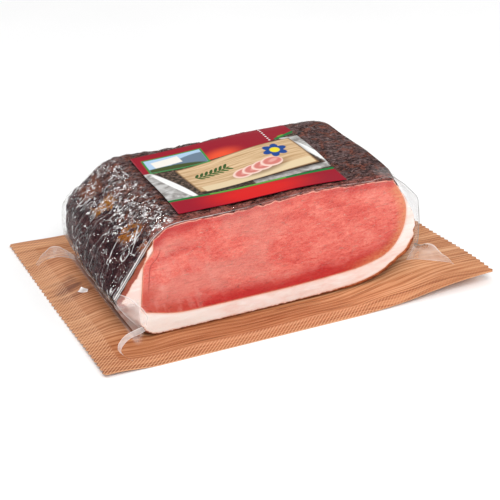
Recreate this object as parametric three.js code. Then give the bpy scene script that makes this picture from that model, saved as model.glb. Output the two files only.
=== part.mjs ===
// A vacuum-packed piece of smoked, air-cured pork loin (speck), in millimetres, +Z up.
// The loin lies skin side down on a printed base sheet whose short edges are pinked. It is cut
// square across at the front (-Y), so the cut shows the lean and the fat that wraps round it from
// below. A clear film is drawn over the loin and sealed to the sheet all round, with a fold that
// runs out to each corner, and a label lies on top.
// The origin is the middle of the sheet's underside, on the surface that the pack stands on.
import * as THREE from "three";

// Base sheet
const SHEET_LENGTH = 180;
const SHEET_DEPTH = 123;
const SHEET_THICKNESS = 0.4;
const TOOTH_COUNT = 38;
const TOOTH_DEPTH = 1;
const SHEET_COLUMNS = 22;
const COLUMN_CROWDING = 0.1;

// How far each corner of the sheet curls up, and how far from the middle the curl begins
const CORNER_LIFTS = [
  { sideX: -1, sideY: -1, height: 1.8, startX: 64 },
  { sideX: 1, sideY: -1, height: 6, startX: 22 },
  { sideX: 1, sideY: 1, height: 1.2, startX: 50 },
  { sideX: -1, sideY: 1, height: 0.8, startX: 64 },
];
const CURL_START_Y = -20;

// The sheet is drawn up a little beside the loin's two ends: [start, crest, fall, end, height]
const LEFT_RISE = [-61, -71, -72, -88, 2.6];
const RIGHT_RISE = [46, 60, 64, 84, 1.8];
const RISE_HALF_DEPTH = 32;
const RISE_FADE = 18;

// Loin: the plane of its cut face, its far end and how much that end is rounded
const CUT_Y = -40;
const BACK_Y = 40;
const BACK_ROUND_LENGTH = 18;
const BACK_ROUND_WIDTH = 17;
const BACK_ROUND_HEIGHT = 10.5;
const BACK_FLATNESS = 0.965;
const SHOULDER_GROWTH = 6;
const SHOULDER_LENGTH = 14;
const TOP_WAVE = 0.5;

// Behind the cut the left flank bulges outwards, and further back it is tucked in below the bulge
const FLANK_EDGE_X = -36;
const FLANK_X = -60;
const BULGE = { reach: new THREE.Vector2(-4.26, 2.91), middleZ: 32, halfHeight: 9.5, length: 22 };
const TUCK = { depth: 3.2, middleZ: 18, halfHeight: 8, startX: -55, fullX: -65, startY: -4, fullY: 26 };

// Crags of the crust: their depth, the part of it that the fat's outside has, and where they end
const CRAG_DEPTH = 1;
const FAT_CRAG_SHARE = 0.7;
const FAT_CRAG_END_X = 40;
const LOWEST_CRAG = 6;
const SECTION_MIDDLE = new THREE.Vector2(-8, 25);

// The loin's section, as rounded corners [x, z, length that the rounding takes from each side]
const REST_Z = 0.7;
const LEFT_SIDE = [[-70.5, 11.1, 0], [-77, 19, 2.5], [-55.8, 50, 9], [-45, 50, 0]];
const TOP_SIDE = [[-45, 50, 0], [-20, 49.4, 9], [15, 51.3, 12], [40, 50.3, 0]];
const RIGHT_SIDE = [[40, 50.3, 0], [50.2, 49.9, 4], [61.8, 30, 8], [61.2, 16, 5.5], [56, 11.3, 0]];
const BOTTOM_SIDE = [
  [56, 11.3, 0], [46, 5.2, 6], [34, 2.4, 6], [-14, REST_Z, 12], [-62, REST_Z, 5], [-70.5, 11.1, 0],
];
const SIDE_STEPS = 11;
const TOP_STEPS = 15;
const BOTTOM_STEPS = 15;
const LENGTH_STEPS = 15;
const STATION_CROWDING = 0.12;

// The seam between lean and fat, from the right side of the section round to the left side
const SEAM = [
  [53.2, 43.4, 3], [57.2, 36, 5], [56.7, 24.6, 5.5], [50.2, 13.9, 6.5], [36, 9.9, 7], [8, 8.3, 14],
  [-30, 8.1, 13], [-50, 8.4, 6], [-65.6, 12.6, 3], [-63.7, 34.5, 3], [-59, 38.5, 2.5], [-59.6, 42, 1],
];
const SEAM_STEPS = 34;
const SEAM_TOP_RIGHT = 2;
const SEAM_TOP_LEFT = 8;

// Gap between touching pieces, and the clear film
const GAP = 0.3;
const FILM_THICKNESS = 0.35;
const FILM_CLEARANCE = GAP + FILM_THICKNESS / 2 + 0.1;
const FOOT_LEFT_X = -67;
const FOOT_RIGHT_X = 61;
const FOOT_STEP = 0.3;
const FLANGE_STEPS = 6;
const FLANGE_GAP = 0.5;
const FLANGE_INSET = 0.6;

// The film's left side, which stands off below the flank, and its stand-off towards the far end
const FILM_LEFT = [[-73, 11.1, 0], [-78, 19.3, 3], [-56.5, 51, 9], [-45, 50.6, 0]];
const STANDOFF = { depth: 1.2, startY: 0, fullY: 34, lowZ: [9, 20], highZ: [42, 27], narrowing: 6 };

// The film's right side at the cut, which stands off in a fold, and how far back that fold runs
const FRONT_RIGHT_FOLD = [
  [40, 50.9, 0], [48.6, 51, 1.5], [54.7, 46, 2], [61.9, 38, 2], [63.3, 26, 4], [62.6, 16, 3], [60.5, 11.3, 0],
];
const FRONT_RIGHT_FOLD_LENGTH = 13;

// The fold at each corner: its height at the loin, and its reach as a share of the way to the rim
const FOLDS = {
  front: { left: { height: 8.5, reach: 0.75 }, right: { height: 8.5, reach: 0.8 } },
  back: { left: { height: 8, reach: 0.8 }, right: { height: 8, reach: 0.7 } },
};
const FOLD_SAG = 1.3;

// Label
const LABEL_FRONT = [new THREE.Vector2(-46, -34.8), new THREE.Vector2(29.8, -35.9)];
const LABEL_BACK = [new THREE.Vector2(-44.2, 22.7), new THREE.Vector2(32.3, 29.2)];
const LABEL_THICKNESS = 0.3;
const LABEL_GAP = 0.5;
const LABEL_STEPS_X = 12;
const LABEL_STEPS_Y = 10;

const materials = {
  sheet: new THREE.MeshStandardMaterial({ color: 0xd79a6b, roughness: 0.35, metalness: 0 }),
  lean: new THREE.MeshStandardMaterial({ color: 0xc9453f, roughness: 0.4, metalness: 0 }),
  fat: new THREE.MeshStandardMaterial({ color: 0xf3e7dc, roughness: 0.4, metalness: 0 }),
  film: new THREE.MeshStandardMaterial({
    color: 0xf4f6f7, roughness: 0.1, metalness: 0, transparent: true, opacity: 0.25,
  }),
  label: new THREE.MeshStandardMaterial({ color: 0xa3202e, roughness: 0.45, metalness: 0 }),
};

const clamp01 = (t) => Math.min(1, Math.max(0, t));

function smoothstep(from, to, value) {
  const t = clamp01((value - from) / (to - from));
  return t * t * (3 - 2 * t);
}

// 1 where a value is at the middle, falling off on both its sides
const hump = (value, middle, halfWidth) => Math.exp(-(((value - middle) / halfWidth) ** 2));

// A path through corners [x, z, cut], each rounded over cut on both of its sides.
function roundedPath(corners) {
  const points = corners.map(([x, z]) => new THREE.Vector2(x, z));
  const path = new THREE.Path().moveTo(points[0].x, points[0].y);
  for (let i = 1; i < points.length - 1; i++) {
    const cut = corners[i][2];
    const before = points[i - 1].clone().sub(points[i]).setLength(cut).add(points[i]);
    const after = points[i + 1].clone().sub(points[i]).setLength(cut).add(points[i]);
    path.lineTo(before.x, before.y);
    path.quadraticCurveTo(points[i].x, points[i].y, after.x, after.y);
  }
  const last = points[points.length - 1];
  return path.lineTo(last.x, last.y);
}

const sampled = (corners, steps) => roundedPath(corners).getSpacedPoints(steps);

// The sheet's underside: flat below the loin, drawn up beside it, and curled at the corners.
function sheetHeight(x, y) {
  let height = 0;
  for (const { sideX, sideY, height: lift, startX } of CORNER_LIFTS) {
    const alongX = smoothstep(startX, SHEET_LENGTH / 2, x * sideX);
    const alongY = smoothstep(CURL_START_Y, SHEET_DEPTH / 2, y * sideY);
    height += lift * alongX * alongY;
  }
  const besideLoin = 1 - smoothstep(RISE_HALF_DEPTH, RISE_HALF_DEPTH + RISE_FADE, Math.abs(y));
  for (const [start, crest, fall, end, rise] of [LEFT_RISE, RIGHT_RISE])
    height += rise * besideLoin * smoothstep(start, crest, x) * (1 - smoothstep(fall, end, x));
  return height;
}

// How far a point of the section is moved out or in by the left flank's bulge and tuck
function flankShift(point, y) {
  const onFlank = smoothstep(FLANK_EDGE_X, FLANK_X, point.x) * smoothstep(CUT_Y, CUT_Y + BULGE.length, y);
  const shift = BULGE.reach.clone().multiplyScalar(onFlank * hump(point.y, BULGE.middleZ, BULGE.halfHeight));
  shift.x += TUCK.depth * hump(point.y, TUCK.middleZ, TUCK.halfHeight) *
    smoothstep(TUCK.startX, TUCK.fullX, point.x) * smoothstep(TUCK.startY, TUCK.fullY, y);
  return shift;
}

// Where a point of the section lies at a place along the loin: its upper right shoulder fills out
// behind the cut, its left flank bulges, its top is a little wavy, and its far end is rounded.
function placed(point, y) {
  const upper = clamp01((point.y - REST_Z) / RIGHT_SIDE[0][1]);
  const toRight = clamp01(point.x / RIGHT_SIDE[2][0]);
  const behindCut = smoothstep(CUT_Y, CUT_Y + SHOULDER_LENGTH, y);
  const grown = SHOULDER_GROWTH * behindCut * upper ** 2 * toRight ** 2;
  const wave = TOP_WAVE * upper ** 3 * Math.sin(y / 9 + point.x / 17);
  const t = clamp01((y - BACK_Y + BACK_ROUND_LENGTH) / BACK_ROUND_LENGTH) * BACK_FLATNESS;
  const drawnIn = 1 - Math.sqrt(1 - t * t);
  const halfWidth = (RIGHT_SIDE[2][0] - LEFT_SIDE[1][0]) / 2;
  const middle = (RIGHT_SIDE[2][0] + LEFT_SIDE[1][0]) / 2;
  const acrossKept = 1 - (drawnIn * BACK_ROUND_WIDTH) / halfWidth;
  const heightKept = 1 - (drawnIn * BACK_ROUND_HEIGHT) / RIGHT_SIDE[0][1];
  const shift = flankShift(point, y);
  return new THREE.Vector3(
    middle + (point.x + grown + shift.x - middle) * acrossKept,
    y,
    REST_Z + (point.y + wave + shift.y - REST_Z) * heightKept,
  );
}

// Crags of the cured crust, always inwards, so that the film lies over them.
function cragDepth(p) {
  const wave = Math.sin(p.x * 0.61 + p.y * 0.37) * Math.sin(p.y * 0.83 - p.z * 0.45) +
    Math.sin(p.z * 0.71 + p.y * 0.29 + 1.3) * Math.sin(p.x * 0.33 - p.y * 0.52);
  return CRAG_DEPTH * clamp01(0.5 + wave / 2) ** 2;
}

// Places along the loin, closer together where the shoulder grows and where the far end is round.
function stations() {
  const places = [];
  for (let j = 0; j <= LENGTH_STEPS; j++) {
    const t = j / LENGTH_STEPS;
    const eased = t - STATION_CROWDING * Math.sin(2 * Math.PI * t);
    places.push(CUT_Y + (BACK_Y - CUT_Y) * eased);
  }
  return places;
}

// A closed mesh from points and triangles of point numbers.
function makeMesh(name, points, triangles, material) {
  const geometry = new THREE.BufferGeometry().setFromPoints(points);
  geometry.setIndex(triangles.flat());
  geometry.computeVertexNormals();
  const mesh = new THREE.Mesh(geometry, material);
  mesh.name = name;
  return mesh;
}

// The triangles of a grid of points. They face the side from which its columns run to the right
// and its rows run up.
function gridTriangles(columns, rows, at) {
  const triangles = [];
  for (let j = 0; j < rows; j++)
    for (let i = 0; i < columns; i++) {
      triangles.push([at(i, j), at(i + 1, j), at(i + 1, j + 1)]);
      triangles.push([at(i, j), at(i + 1, j + 1), at(i, j + 1)]);
    }
  return triangles;
}

// A solid between the cut face and the far end. Its section runs clockwise, seen from the front:
// first its line on the loin's outside, which is craggy behind the cut, and then its inner line.
// The share of the crags' depth that it has is given for each place across.
function loftedSection(name, outer, inner, cragShare, material) {
  const points = [];
  const places = stations();
  const section = [...outer, ...inner];
  for (const y of places)
    section.forEach((p, i) => {
      const here = placed(p, y);
      const isOutside = i > 0 && i < outer.length - 1;
      if (isOutside && p.y > LOWEST_CRAG && y > CUT_Y) {
        const inwards = placed(SECTION_MIDDLE, y).sub(here).normalize();
        here.addScaledVector(inwards, cragDepth(here) * cragShare(p.x));
      }
      points.push(here);
    });
  const count = section.length;
  const triangles = gridTriangles(count, places.length - 1, (i, j) => j * count + (i % count));
  const cap = THREE.ShapeUtils.triangulateShape(section, []);
  const lastRing = (places.length - 1) * count;
  for (const [a, b, c] of cap) {
    triangles.push([a, b, c]);
    triangles.push([lastRing + a, lastRing + c, lastRing + b]);
  }
  return makeMesh(name, points, triangles, material);
}

// Moves each point of an open line sideways, to the left of the way that it runs.
function offsetLine(line, distance) {
  return line.map((p, i) => {
    const along = line[Math.min(i + 1, line.length - 1)].clone().sub(line[Math.max(i - 1, 0)]);
    const sideways = new THREE.Vector2(-along.y, along.x).setLength(distance);
    return sideways.add(p);
  });
}

// The section of the loin: open lines that follow one another clockwise, seen from the front
const left = sampled(LEFT_SIDE, SIDE_STEPS);
const top = sampled(TOP_SIDE, TOP_STEPS);
const right = sampled(RIGHT_SIDE, SIDE_STEPS);
const bottom = sampled(BOTTOM_SIDE, BOTTOM_STEPS);
const seamEnds = [right[SEAM_TOP_RIGHT], left[SEAM_TOP_LEFT]];
const seam = sampled(
  [[seamEnds[0].x, seamEnds[0].y, 0], ...SEAM, [seamEnds[1].x, seamEnds[1].y, 0]],
  SEAM_STEPS,
);

// The lean: crusted outside from the seam's left end over the top to its right end, then the seam.
function makeLean() {
  const crust = [...left.slice(SEAM_TOP_LEFT), ...top.slice(1), ...right.slice(1, SEAM_TOP_RIGHT + 1)];
  const inner = offsetLine(seam, -GAP / 2).slice(1, -1);
  return loftedSection("lean_meat", crust, inner, () => 1, materials.lean);
}

// The fat and its rind: outside from the seam's right end round below to its left end, then the seam.
function makeFat() {
  const rind = [
    ...right.slice(SEAM_TOP_RIGHT + 1),
    ...bottom.slice(1),
    ...left.slice(1, SEAM_TOP_LEFT),
  ];
  const inner = offsetLine(seam, GAP / 2).slice(1, -1).reverse();
  const cragShare = (x) => FAT_CRAG_SHARE * smoothstep(FAT_CRAG_END_X, 0, x);
  return loftedSection("fat_layer", rind, inner, cragShare, materials.fat);
}

// The base sheet: one row of cells for each tooth, and the teeth beyond its two short edges.
function makeSheet() {
  const rootX = SHEET_LENGTH / 2 - TOOTH_DEPTH;
  const rows = TOOTH_COUNT;
  const width = SHEET_COLUMNS + 1;
  const flat = [];
  for (let j = 0; j <= rows; j++)
    for (let i = 0; i <= SHEET_COLUMNS; i++) {
      const t = (2 * i) / SHEET_COLUMNS - 1;
      flat.push([rootX * (t + COLUMN_CROWDING * Math.sin(Math.PI * t)), (j / rows - 0.5) * SHEET_DEPTH]);
    }
  const tips = { left: [], right: [] };
  for (let j = 0; j < rows; j++) {
    const y = ((j + 0.5) / rows - 0.5) * SHEET_DEPTH;
    tips.left.push(flat.push([-SHEET_LENGTH / 2, y]) - 1);
    tips.right.push(flat.push([SHEET_LENGTH / 2, y]) - 1);
  }
  const at = (i, j) => j * width + i;
  const upward = gridTriangles(SHEET_COLUMNS, rows, at);
  const rim = [];
  for (let i = 0; i < SHEET_COLUMNS; i++) rim.push(at(i, 0));
  for (let j = 0; j < rows; j++) {
    rim.push(at(SHEET_COLUMNS, j), tips.right[j]);
    upward.push([at(SHEET_COLUMNS, j), tips.right[j], at(SHEET_COLUMNS, j + 1)]);
    upward.push([at(0, j + 1), tips.left[j], at(0, j)]);
  }
  for (let i = SHEET_COLUMNS; i > 0; i--) rim.push(at(i, rows));
  for (let j = rows; j > 0; j--) rim.push(at(0, j), tips.left[j - 1]);
  const layout = { flat, upward, rim };
  return makePlate("base_sheet", layout, sheetHeight, SHEET_THICKNESS, materials.sheet);
}

// A thin plate over a flat layout of points, with its underside at height(x, y). The layout's
// triangles face up, and its rim runs anticlockwise from above.
function makePlate(name, { flat, upward, rim }, height, thickness, material) {
  const under = flat.map(([x, y]) => new THREE.Vector3(x, y, height(x, y)));
  const over = under.map((p) => p.clone().setZ(p.z + thickness));
  const count = flat.length;
  const triangles = upward.map((face) => face.map((v) => v + count));
  for (const [a, b, c] of upward) triangles.push([a, c, b]);
  rim.forEach((a, i) => {
    const b = rim[(i + 1) % rim.length];
    triangles.push([a, b, b + count], [a, b + count, a + count]);
  });
  return makeMesh(name, [...under, ...over], triangles, material);
}

// The height of the film's middle where it lies on the sheet
const flangeHeight = (x, y) => sheetHeight(x, y) + SHEET_THICKNESS + FLANGE_GAP + FILM_THICKNESS / 2;

// The middle of the film in the loin's section, all lines from below upwards or from left to right:
// its left side, its top, its right side where it is tight, and its right side's fold at the cut
function filmLines() {
  const base = [...left, ...top.slice(1), ...right.slice(1)];
  const outside = offsetLine(base, FILM_CLEARANCE);
  const topLine = outside.slice(SIDE_STEPS, SIDE_STEPS + TOP_STEPS + 1);
  const tightLine = outside.slice(SIDE_STEPS + TOP_STEPS).reverse();
  const leftLine = sampled(FILM_LEFT, SIDE_STEPS);
  leftLine[SIDE_STEPS].copy(topLine[0]);
  const foldLine = sampled(FRONT_RIGHT_FOLD, SIDE_STEPS).reverse();
  foldLine[SIDE_STEPS].copy(topLine[TOP_STEPS]);
  return { leftLine, topLine, tightLine, foldLine };
}

// A point of the film's upright part in the section: step i across and step k up, at a place along
function wallPoint({ leftLine, topLine, tightLine, foldLine }, i, k, y) {
  const folded = 1 - smoothstep(CUT_Y, CUT_Y + FRONT_RIGHT_FOLD_LENGTH, y);
  const across = i / TOP_STEPS;
  const between = (step) =>
    leftLine[step].clone().lerp(tightLine[step].clone().lerp(foldLine[step], folded), across);
  const rounded = topLine[i].clone().sub(between(SIDE_STEPS));
  const point = between(k).addScaledVector(rounded, k / SIDE_STEPS);
  const bell = smoothstep(...STANDOFF.lowZ, point.y) * smoothstep(...STANDOFF.highZ, point.y);
  const byFlank = (1 - across) ** STANDOFF.narrowing * smoothstep(STANDOFF.startY, STANDOFF.fullY, y);
  point.x -= STANDOFF.depth * bell * byFlank;
  return point;
}

// The places of a ring's points, as steps across and along, once round the loin from its front
// left corner, anticlockwise from above
function placesRound() {
  const places = [];
  for (let i = 0; i < TOP_STEPS; i++) places.push([i, 0]);
  for (let j = 0; j < LENGTH_STEPS; j++) places.push([TOP_STEPS, j]);
  for (let i = TOP_STEPS; i > 0; i--) places.push([i, LENGTH_STEPS]);
  for (let j = LENGTH_STEPS; j > 0; j--) places.push([0, j]);
  return places;
}

// The fold at a place, or one of no height where the place is no corner
function foldAt([i, j]) {
  const isCorner = i % TOP_STEPS === 0 && j % LENGTH_STEPS === 0;
  if (!isCorner) return { height: 0, reach: 1 };
  return FOLDS[j === 0 ? "front" : "back"][i === 0 ? "left" : "right"];
}

// The foot of the film, where it meets the sheet or a fold begins, just outside the loin
function footPoint(low, place) {
  const isFold = foldAt(place).height > 0;
  const x = isFold ? low.x : THREE.MathUtils.clamp(low.x, FOOT_LEFT_X, FOOT_RIGHT_X);
  const y = low.y + FOOT_STEP * (place[1] === 0 ? -1 : 1) * (place[1] % LENGTH_STEPS === 0 ? 1 : 0);
  return new THREE.Vector3(x, y, flangeHeight(x, y));
}

// A point of the flange, part of the way from the foot to the sheet's rim, raised along a fold
function flangePoint(foot, place, share) {
  const rimX = (SHEET_LENGTH / 2 - TOOTH_DEPTH - FLANGE_INSET) * ((2 * place[0]) / TOP_STEPS - 1);
  const rimY = (SHEET_DEPTH / 2 - FLANGE_INSET) * ((2 * place[1]) / LENGTH_STEPS - 1);
  const x = THREE.MathUtils.lerp(foot.x, rimX, share);
  const y = THREE.MathUtils.lerp(foot.y, rimY, share);
  const { height, reach } = foldAt(place);
  return new THREE.Vector3(x, y, flangeHeight(x, y) + height * clamp01(1 - share / reach) ** FOLD_SAG);
}

// The film's middle surface: rings from the flange's rim in to the foot and up the loin's sides,
// and a patch over its top that joins the highest ring. Its triangles face outwards.
function filmSurface() {
  const lines = filmLines();
  const alongs = stations();
  alongs[0] -= FILM_CLEARANCE;
  alongs[LENGTH_STEPS] += FILM_CLEARANCE;
  const places = placesRound();
  const sideRings = lines.leftLine.map((p, k) =>
    places.map(([i, j]) => placed(wallPoint(lines, i, k, alongs[j]), alongs[j])));
  const foot = places.map((place, n) => footPoint(sideRings[0][n], place));
  const flangeRings = [];
  for (let m = FLANGE_STEPS; m >= 0; m--)
    flangeRings.push(places.map((place, n) => flangePoint(foot[n], place, m / FLANGE_STEPS)));
  const rings = [...flangeRings, ...sideRings];
  const count = places.length;
  const points = rings.flat();
  const triangles = gridTriangles(count, rings.length - 1, (n, ring) => ring * count + (n % count));

  const highest = (rings.length - 1) * count;
  const topNumbers = new Map(places.map((place, n) => [String(place), highest + n]));
  for (let j = 1; j < LENGTH_STEPS; j++)
    for (let i = 1; i < TOP_STEPS; i++)
      topNumbers.set(String([i, j]), points.push(placed(lines.topLine[i], alongs[j])) - 1);
  triangles.push(...gridTriangles(TOP_STEPS, LENGTH_STEPS, (i, j) => topNumbers.get(String([i, j]))));
  return { points, triangles, count };
}

// The clear film: a thin shell over the loin, open below, whose flange lies on the sheet. Its two
// faces are half a thickness to each side of its middle, and are joined at the flange's rim.
function makeFilm() {
  const { points, triangles, count } = filmSurface();
  const normals = makeMesh("middle", points, triangles, materials.film).geometry.getAttribute("normal");
  const normal = new THREE.Vector3();
  const face = (distance) =>
    points.map((p, v) => p.clone().addScaledVector(normal.fromBufferAttribute(normals, v), distance));
  const half = FILM_THICKNESS / 2;
  const total = points.length;
  const faces = [...triangles, ...triangles.map(([a, b, c]) => [a + total, c + total, b + total])];
  for (let n = 0; n < count; n++) {
    const next = (n + 1) % count;
    faces.push([next, n, n + total], [next, n + total, next + total]);
  }
  return makeMesh("clear_film", [...face(half), ...face(-half)], faces, materials.film);
}

// The height of the film's outer face over a point of the loin's top
function topHeight(x, y) {
  const line = top.map((p) => placed(new THREE.Vector2(p.x, p.y + FILM_CLEARANCE), y));
  const past = Math.max(1, line.findIndex((p) => p.x > x));
  const [before, after] = [line[past - 1], line[past]];
  const height = THREE.MathUtils.mapLinear(x, before.x, after.x, before.z, after.z);
  return height + FILM_THICKNESS / 2;
}

// The label: a thin plate that follows the loin's top.
function makeLabel() {
  const flat = [];
  for (let j = 0; j <= LABEL_STEPS_Y; j++)
    for (let i = 0; i <= LABEL_STEPS_X; i++) {
      const front = LABEL_FRONT[0].clone().lerp(LABEL_FRONT[1], i / LABEL_STEPS_X);
      const back = LABEL_BACK[0].clone().lerp(LABEL_BACK[1], i / LABEL_STEPS_X);
      flat.push(front.lerp(back, j / LABEL_STEPS_Y).toArray());
    }
  const at = (i, j) => j * (LABEL_STEPS_X + 1) + i;
  const rim = [];
  for (let i = 0; i < LABEL_STEPS_X; i++) rim.push(at(i, 0));
  for (let j = 0; j < LABEL_STEPS_Y; j++) rim.push(at(LABEL_STEPS_X, j));
  for (let i = LABEL_STEPS_X; i > 0; i--) rim.push(at(i, LABEL_STEPS_Y));
  for (let j = LABEL_STEPS_Y; j > 0; j--) rim.push(at(0, j));
  const height = (x, y) => topHeight(x, y) + LABEL_GAP;
  const upward = gridTriangles(LABEL_STEPS_X, LABEL_STEPS_Y, at);
  return makePlate("label", { flat, upward, rim }, height, LABEL_THICKNESS, materials.label);
}

const speckPack = new THREE.Group();
speckPack.add(makeSheet(), makeLean(), makeFat(), makeFilm(), makeLabel());

export default speckPack;
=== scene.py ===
import itertools
import math

import bmesh
import bpy
import numpy as np
from mathutils import Matrix, Vector


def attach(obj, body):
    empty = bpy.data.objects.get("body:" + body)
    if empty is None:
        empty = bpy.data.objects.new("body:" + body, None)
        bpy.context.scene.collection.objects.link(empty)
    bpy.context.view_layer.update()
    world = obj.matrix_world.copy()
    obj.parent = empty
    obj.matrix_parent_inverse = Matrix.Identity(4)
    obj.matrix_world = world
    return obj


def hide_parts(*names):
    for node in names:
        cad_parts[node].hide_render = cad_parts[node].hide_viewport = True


# Looks of a vacuum-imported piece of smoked, air-cured pork loin (speck): fine lean, fat, rind and
# crust, clear film with its folds, a printed base sheet and a label. The shapes repeat the part's
# own sizes, in millimetres, and go into the scene in metres.
MM = 0.001

# Base sheet. A corner has its sides in X and Y, its lift and the X where that starts. A rise has the
# X of its start, its crest's two ends and its end, and its height. A knot has its X, Y and size.
SHEET_LENGTH = 180
SHEET_DEPTH = 123
SHEET_THICKNESS = 0.4
TOOTH_COUNT = 38
TOOTH_DEPTH = 1
CORNER_LIFTS = [(-1, -1, 1.8, 64), (1, -1, 6, 22), (1, 1, 1.2, 50), (-1, 1, 0.8, 64)]
CURL_START_Y = -20
RISES = [(-61, -71, -72, -88, 2.6), (46, 60, 64, 84, 1.8)]
RISE_HALF_DEPTH = 32
RISE_FADE = 18
RIPPLE = 0.3
RIPPLE_SIZE = 10, 14, 1
END_SEAL_WIDTH = 11
SIDE_SEAL_WIDTH = 8.5
SEAL_FADE = 1.5
HATCH_PITCH = 1.65
RING_PITCH = 2.3
KNOTS = [(-80, 8, 9), (38, -58, 6), (80, 20, 7)]

# Loin. Its section is four sides of corners (x, z, cut), and the seam between lean and fat.
CUT_Y = -40
BACK_Y = 40
BACK_ROUND_LENGTH = 18
BACK_ROUND_WIDTH = 17
BACK_ROUND_HEIGHT = 10.5
BACK_FLATNESS = 0.965
SHOULDER_GROWTH = 6
SHOULDER_LENGTH = 14
FLANK_BULGE = 5.2
FLANK_BULGE_WAY = -0.82, 0.56
FLANK_BULGE_X = -36, -60
FLANK_BULGE_Z = 32, 9.5
FLANK_BULGE_LENGTH = 22
FLANK_TUCK = 3.2
FLANK_TUCK_X = -55, -65
FLANK_TUCK_Y = -4, 26
FLANK_TUCK_Z = 18, 8
TOP_WAVE = 0.5
TOP_WAVE_SIZE = 17, 9
REST_Z = 0.7
LEFT_FOOT = -70.5, 11.1
TOP_LEFT = -45, 50
TOP_RIGHT = 40, 50.3
RIGHT_FOOT = 56.4, 10.4
LEFT_SIDE = [(*LEFT_FOOT, 0), (-77, 19, 2.5), (-55.8, 50, 9), (*TOP_LEFT, 0)]
TOP_SIDE = [(*TOP_LEFT, 0), (-20, 49.4, 9), (15, 51.3, 12), (*TOP_RIGHT, 0)]
RIGHT_SIDE = [(*TOP_RIGHT, 0), (50.2, 49.9, 4), (61.8, 30, 8), (62, 15.4, 5.5), (*RIGHT_FOOT, 0)]
BOTTOM_SIDE = [
    (*RIGHT_FOOT, 0), (46.6, 4.1, 6), (35, 1.5, 6), (-14, REST_Z, 12), (-62, REST_Z, 5), (*LEFT_FOOT, 0),
]
SEAM = [
    (53.2, 43.4, 3), (57.2, 36, 5), (56.7, 24.6, 5.5), (50.2, 13.9, 6.5), (36, 9.9, 7), (8, 8.3, 14),
    (-30, 8.1, 13), (-50, 8.4, 6), (-65.6, 12.6, 3), (-63.7, 34.5, 3), (-59, 38.5, 2.5), (-59.6, 42, 1),
]
SEAM_ENDS = 2 / 11, 8 / 11
HEART = -8, 25
GAP = 0.04
CRUST_DEPTH = 1.5

# Film
FILM_CLEARANCE = 0.35
FLANGE_CLEARANCE = 0.15
FOOT_X = -67, 61
FOOT_STEP = 0.3
FLANGE_INSET = 0.6
FILM_LEFT = [(-72.8, 11.1, 0), (-77.6, 19.2, 3), (-56.2, 50.6, 9), (-45, 50.35, 0)]
BACK_LEFT_STANDOFF = 1.2
FRONT_RIGHT_FOLD = [
    (40, 50.8, 0), (48.6, 50.9, 1.5), (54.7, 46, 2), (61.9, 38, 2), (63.3, 26, 4), (63, 16, 3),
    (60.8, 10.4, 0),
]
FRONT_RIGHT_FOLD_LENGTH = 13
WRINKLE_SLOPE = -34

# Label
LABEL_CORNERS = (-46, -34.8), (29.8, -35.9), (32.3, 29.2), (-44.2, 22.7)
LABEL_SIZE = 76.5, 61.3
LABEL_THICKNESS = 0.2
LABEL_CLEARANCE = 0.12
FLOWER = 60, 36.4

# Studio, and the camera: where it looks from, and its lens
FLOOR_REACH = 2500
FLOOR_DROP = 0.05
CAMERA_AZIMUTH = -25.427
CAMERA_ELEVATION = 27.701
CAMERA_DISTANCE = 0.66652
CAMERA_RIGHT = 0.001908
CAMERA_UP = 0.00653
CAMERA_LENS = 108
CAMERA_SENSOR = 36

# Large odd numbers that scatter the random ones
SCATTER = 374761393, 668265263, 1440662683, 974634777
SCRAMBLE = 1274126177


# Numbers and lines

def ease(start, end, value):
    """0 up to start, 1 from end on, and smooth between; start may be the larger."""
    t = np.clip((value - start) / (end - start), 0, 1)
    return t * t * (3 - 2 * t)


def even_shares(count):
    """Shares from 0 to 1, in that many even steps."""
    return np.linspace(0, 1, count + 1)


def hump(value, middle, half_width):
    return np.exp(-((value - middle) / half_width) ** 2)


def points_at(x, y, z=0.0):
    return np.stack(np.broadcast_arrays(x, y, z), axis=-1)


def lattice(cells, seed):
    """A random number from -1 to 1 for each whole-number cell of space."""
    x, y, z = (cells[..., axis].astype(np.int64) for axis in range(3))
    mixed = sum(value * factor for value, factor in zip((x, y, z, seed), SCATTER))
    mixed = (mixed ^ (mixed >> 13)) * SCRAMBLE
    mixed ^= mixed >> 16
    return (mixed & 0xFFFF) / 32767.5 - 1


def noise(points, size, seed=0):
    """Smooth noise from -1 to 1, with bumps of that size, which may differ along X, Y and Z."""
    scaled = points / np.asarray(size, float)
    cell = np.floor(scaled)
    part = scaled - cell
    part = part * part * (3 - 2 * part)
    total = np.zeros(points.shape[:-1])
    for corner in itertools.product((0, 1), repeat=3):
        weight = np.prod(np.where(corner, part, 1 - part), axis=-1)
        total += weight * lattice(cell + corner, seed)
    return total


def drift(points, size, seed):
    """A smooth random shift at each point, from -1 to 1 along each axis."""
    return np.stack([noise(points, size, seed + axis) for axis in range(3)], axis=-1)


def rounded_line(corners, steps=16):
    """A line of points through corners (x, z, cut), each rounded over cut on both its sides."""
    points = np.array([corner[:2] for corner in corners], float)
    line = [points[0]]
    for before, corner, after, (_, _, cut) in zip(points, points[1:], points[2:], corners[1:]):
        start = corner + (before - corner) * cut / np.linalg.norm(before - corner)
        end = corner + (after - corner) * cut / np.linalg.norm(after - corner)
        for t in np.linspace(0, 1, steps):
            line.append((1 - t) ** 2 * start + 2 * t * (1 - t) * corner + t * t * end)
    line.append(points[-1])
    return np.array(line)


def along(line, shares):
    """Points at these shares of the line's length."""
    steps = np.linalg.norm(np.diff(line, axis=0), axis=1)
    length = np.concatenate([[0], np.cumsum(steps)])
    at = np.asarray(shares) * length[-1]
    return np.stack([np.interp(at, length, line[:, axis]) for axis in range(line.shape[1])], axis=-1)


def part_of(line, start, end, steps=40):
    return along(line, np.linspace(start, end, steps))


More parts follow.
